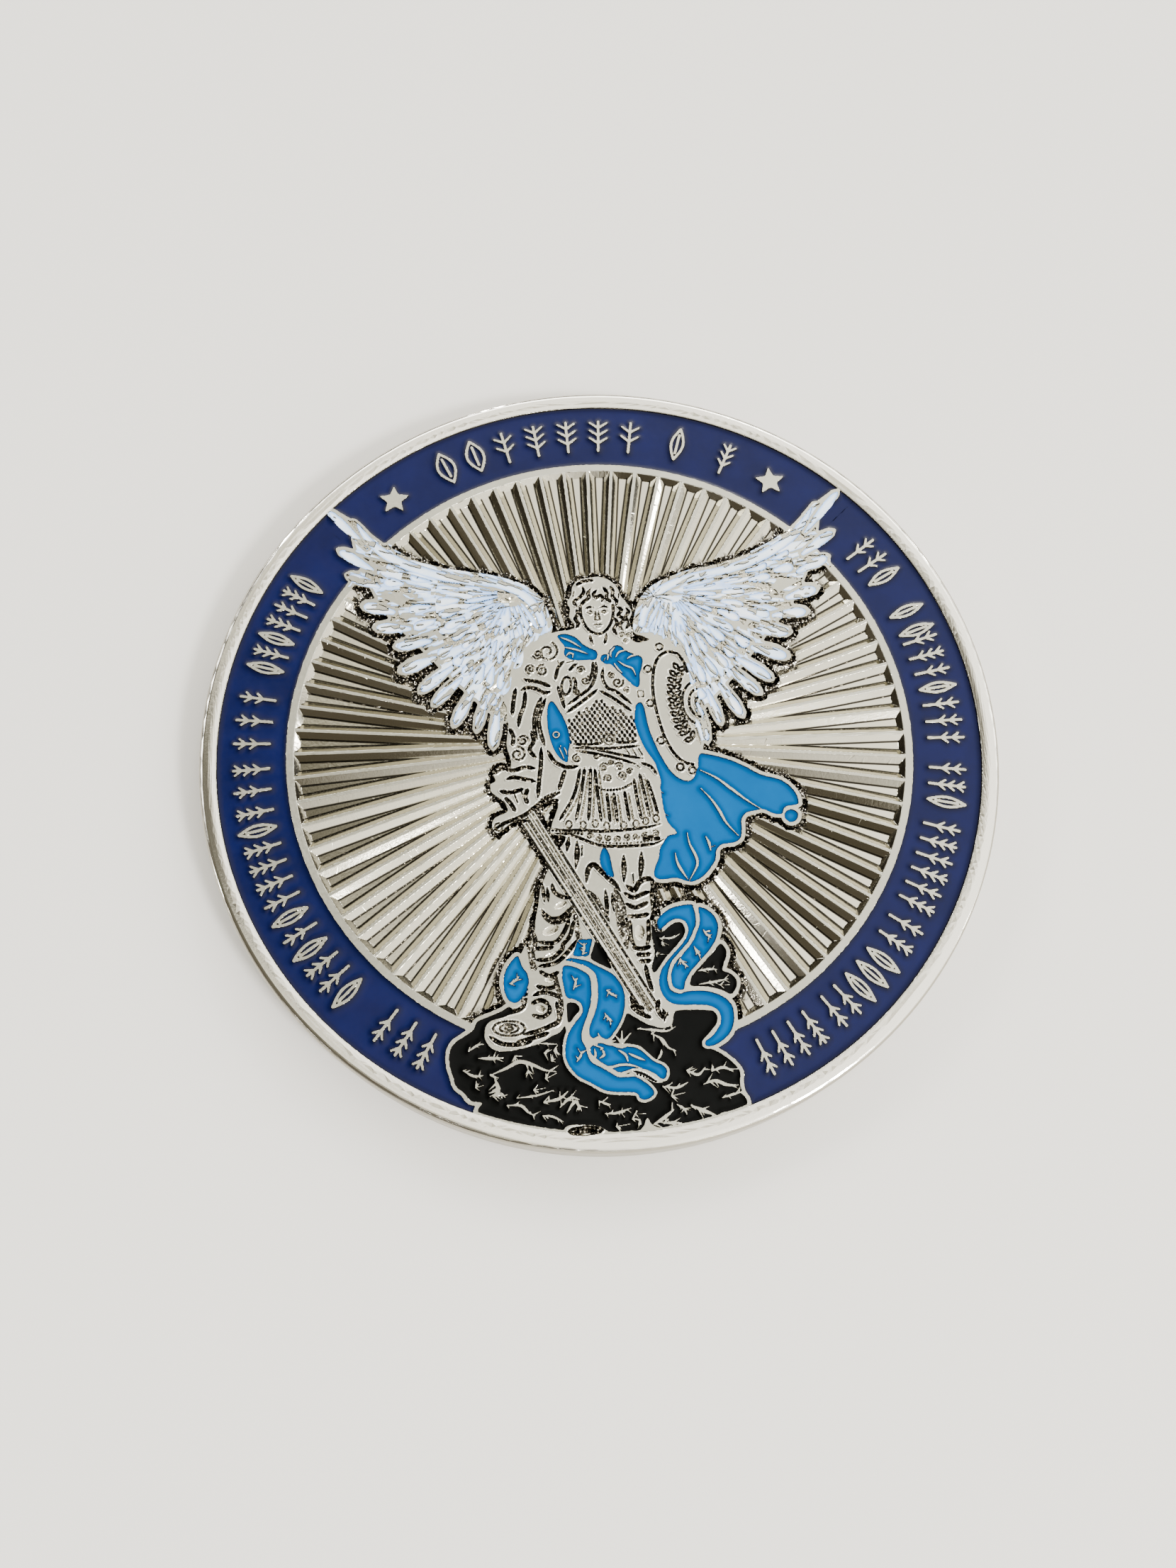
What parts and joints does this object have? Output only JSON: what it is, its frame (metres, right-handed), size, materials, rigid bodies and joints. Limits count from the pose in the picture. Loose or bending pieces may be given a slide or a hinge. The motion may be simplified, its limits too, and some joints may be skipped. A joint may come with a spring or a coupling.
{
  "type": "challenge coin",
  "caption": "Struck round metal coin with a winged armoured figure in a sunray field, a dark blue border band and coloured enamel fills on one side, lying flat",
  "frame": {"origin": "middle of the underside, where the coin rests", "axes": "+Z out of the picture side, +Y to the top of the picture, +X to the right of the picture"},
  "size_m": [0.0444, 0.0444, 0.003],
  "materials": {
    "plated_metal": "bright nickel plate over struck metal, polished high points",
    "navy_enamel": "glossy dark blue soft enamel, slightly sunken between the metal lines",
    "cyan_enamel": "glossy bright blue soft enamel",
    "white_enamel": "glossy pale white-blue soft enamel",
    "black_enamel": "glossy black soft enamel"
  },
  "bodies": {
    "root": {"coin_body": "plated_metal", "enamel_band_top": "navy_enamel", "enamel_band_left": "navy_enamel", "enamel_band_right": "navy_enamel", "enamel_band_reverse": "navy_enamel", "enamel_neckcloth_left": "cyan_enamel", "enamel_neckcloth_right": "cyan_enamel", "enamel_sleeve_lining": "cyan_enamel", "enamel_cape": "cyan_enamel", "enamel_cape_curl": "cyan_enamel", "enamel_skirt_lining": "cyan_enamel", "enamel_serpent_coil": "cyan_enamel", "enamel_serpent_neck": "cyan_enamel", "enamel_serpent_belly": "cyan_enamel", "enamel_serpent_back": "cyan_enamel", "enamel_serpent_head": "cyan_enamel", "enamel_tail_edge": "cyan_enamel", "enamel_tail_belly": "cyan_enamel", "enamel_rock_base": "black_enamel", "enamel_rock_left_chip": "black_enamel", "enamel_rock_middle": "black_enamel", "enamel_rock_inside_tail": "black_enamel", "enamel_rock_right": "black_enamel", "enamel_left_wing_edge": "white_enamel", "enamel_left_wing_coverts": "white_enamel", "enamel_left_wing_feathers": "white_enamel", "enamel_right_wing_edge": "white_enamel", "enamel_right_wing_coverts": "white_enamel", "enamel_right_wing_feathers": "white_enamel"}
  },
  "joints": []
}
